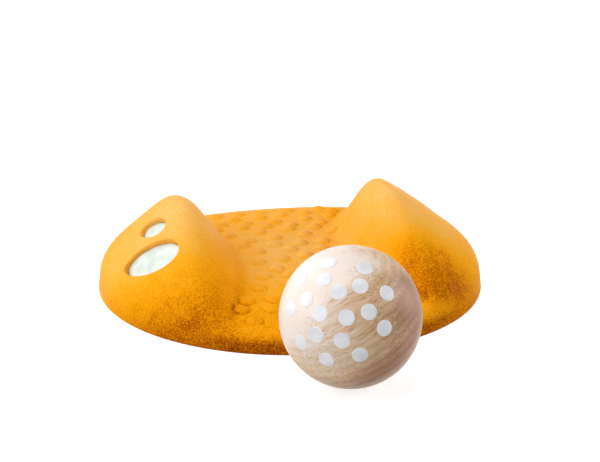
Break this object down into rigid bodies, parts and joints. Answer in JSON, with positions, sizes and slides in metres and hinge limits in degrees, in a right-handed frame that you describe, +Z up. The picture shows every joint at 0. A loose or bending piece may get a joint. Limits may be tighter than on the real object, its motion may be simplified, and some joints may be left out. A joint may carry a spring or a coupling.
{
  "type": "tabletop mini golf game",
  "caption": "Round moulded tabletop golf obstacle: twin hills with a bumpy valley between them, and a spotted wooden ball that rolls through it.",
  "frame": {"origin": "centre of the round base on the ground, on its flat underside", "axes": "+Z up, +Y along the valley away from the ball at rest, +X across the hills to the right"},
  "size_m": [0.1538, 0.2051, 0.05],
  "materials": {
    "composite": "moulded wood-grain composite dyed orange with fine dark flecks, satin",
    "pale_plate": "smooth pale plate, glossy",
    "ball_wood": "turned rubberwood, clear satin lacquer",
    "white_paint": "white lacquer spots, satin"
  },
  "bodies": {
    "base": {"obstacle_body": "composite", "large_oval_inlay": "pale_plate", "small_oval_inlay": "pale_plate"},
    "rolling_ball": {"ball": "ball_wood", "ball_spots": "white_paint"}
  },
  "joints": [
    {"name": "ball_roll", "type": "hinge", "parent": "base", "child": "rolling_ball", "pos_m": [-0.007, 0, -0.25359], "axis": [-1, 0, 0], "range_deg": [0, 40.65]}
  ]
}
